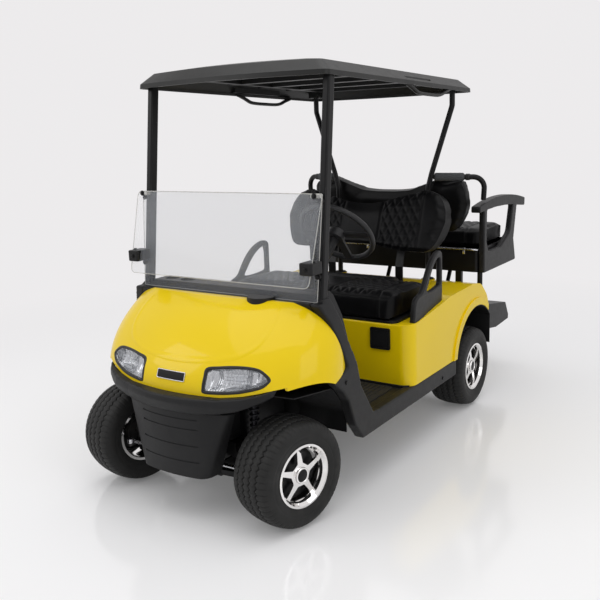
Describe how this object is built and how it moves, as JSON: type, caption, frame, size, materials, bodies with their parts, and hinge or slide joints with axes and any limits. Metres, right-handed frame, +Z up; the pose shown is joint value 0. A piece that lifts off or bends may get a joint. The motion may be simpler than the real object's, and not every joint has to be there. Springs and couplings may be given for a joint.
{
  "type": "golf cart",
  "caption": "Open electric golf cart with front bench, rear-facing rear bench, roof on struts, folding windshield and steered wheels.",
  "frame": {"origin": "on the ground under the middle of the overall box", "axes": "+Z up, the front faces -Y, the driver's (left) side is +X"},
  "size_m": [1.194, 2.769, 1.8799],
  "materials": {
    "yellow_body": "glossy moulded and painted shell",
    "black_moulding": "grained satin black moulding",
    "black_steel": "powder-coated satin black",
    "roof_black": "fine-grained satin black",
    "vinyl": "black marine vinyl, diamond quilted",
    "floor_rubber": "ribbed mat",
    "tyre": "ribbed turf and street tread",
    "chrome_wheel": "polished pressed wheel",
    "clear_pane": "clear lightly smoked sheet",
    "lamp_lens": "clear lens",
    "lamp_housing": "bright reflector in a dark rim",
    "axle_iron": "painted dark",
    "spring_steel": "dark spring steel",
    "battery_case": "plain dark block",
    "bright_steel": "zinc-plated",
    "grip": "soft-grained grip"
  },
  "bodies": {
    "cart": {"chassis_frame": "black_steel", "front_cowl": "yellow_body", "bumper_lip": "black_moulding", "front_apron": "black_moulding", "headlamp_housings": "lamp_housing", "headlamp_lenses": "lamp_lens", "dash": "black_moulding", "side_trims": "black_moulding", "floor_pan": "black_moulding", "floor_mat": "floor_rubber", "pedals": "black_steel", "wheelhouse_liners": "black_moulding", "rear_body": "yellow_body", "charge_port": "black_moulding", "battery_block": "battery_case", "rear_axle": "axle_iron", "leaf_springs": "spring_steel", "shock_absorbers": "spring_steel", "front_arms": "black_steel", "steering_rack": "axle_iron", "steering_column": "black_moulding", "windshield": "clear_pane", "windshield_clips": "black_moulding", "roof_struts": "black_steel", "roof": "roof_black", "seat_brackets": "black_steel", "front_seatback": "vinyl", "hip_restraints": "black_moulding", "rear_seat_base": "black_steel", "rear_cushion": "vinyl", "rear_seatback": "vinyl", "armrests": "grip", "rear_seat_frame": "black_steel", "footplate": "black_moulding"},
    "knuckle_left": {"knuckle_left": "axle_iron"},
    "knuckle_right": {"knuckle_right": "axle_iron"},
    "wheel_front_left": {"tyre_front_left": "tyre", "wheel_front_left": "chrome_wheel"},
    "wheel_front_right": {"tyre_front_right": "tyre", "wheel_front_right": "chrome_wheel"},
    "wheel_rear_left": {"tyre_rear_left": "tyre", "wheel_rear_left": "chrome_wheel"},
    "wheel_rear_right": {"tyre_rear_right": "tyre", "wheel_rear_right": "chrome_wheel"},
    "rack": {"tie_rods": "bright_steel"},
    "steering_wheel": {"steering_wheel": "grip"},
    "seat": {"seat_board": "black_moulding", "front_cushion": "vinyl"}
  },
  "joints": [
    {"name": "steer_left", "type": "hinge", "parent": "cart", "child": "knuckle_left", "pos_m": [0.3935, -1.1225, 0.2286], "axis": [0, 0, 1], "range_deg": [-15.1, 40.9]},
    {"name": "steer_right", "type": "hinge", "parent": "cart", "child": "knuckle_right", "pos_m": [-0.3935, -1.1225, 0.2286], "axis": [0, 0, 1], "range_deg": [-16, 42]},
    {"name": "rack_slide", "type": "slide", "parent": "cart", "child": "rack", "axis": [1, 0, 0], "range_m": [-0.022, 0.057]},
    {"name": "steering_wheel_turn", "type": "hinge", "parent": "cart", "child": "steering_wheel", "pos_m": [0.285, -0.4325, 1.11], "axis": [0, 0.7547, 0.6561], "range_deg": [-190, 500]},
    {"name": "wheel_front_left_spin", "type": "hinge", "parent": "knuckle_left", "child": "wheel_front_left", "pos_m": [0.45101, -1.13567, 0.2286], "axis": [0.9748, -0.2233, 0], "continuous": true},
    {"name": "wheel_front_right_spin", "type": "hinge", "parent": "knuckle_right", "child": "wheel_front_right", "pos_m": [-0.45101, -1.10933, 0.2286], "axis": [0.9748, -0.2233, 0], "continuous": true},
    {"name": "wheel_rear_left_spin", "type": "hinge", "parent": "cart", "child": "wheel_rear_left", "pos_m": [0.4925, 0.5465, 0.2286], "axis": [1, 0, 0], "continuous": true},
    {"name": "wheel_rear_right_spin", "type": "hinge", "parent": "cart", "child": "wheel_rear_right", "pos_m": [-0.4925, 0.5465, 0.2286], "axis": [1, 0, 0], "continuous": true},
    {"name": "seat_lift", "type": "hinge", "parent": "cart", "child": "seat", "pos_m": [0, -0.2845, 0.668], "axis": [1, 0, 0], "range_deg": [0, 60]}
  ],
  "couplings": [
    {"joint": "steer_right", "follows": "steer_left", "ratio": 1},
    {"joint": "steering_wheel_turn", "follows": "steer_left", "ratio": 12},
    {"joint": "rack_slide", "follows": "steer_left", "m_per_rad": 0.077}
  ]
}
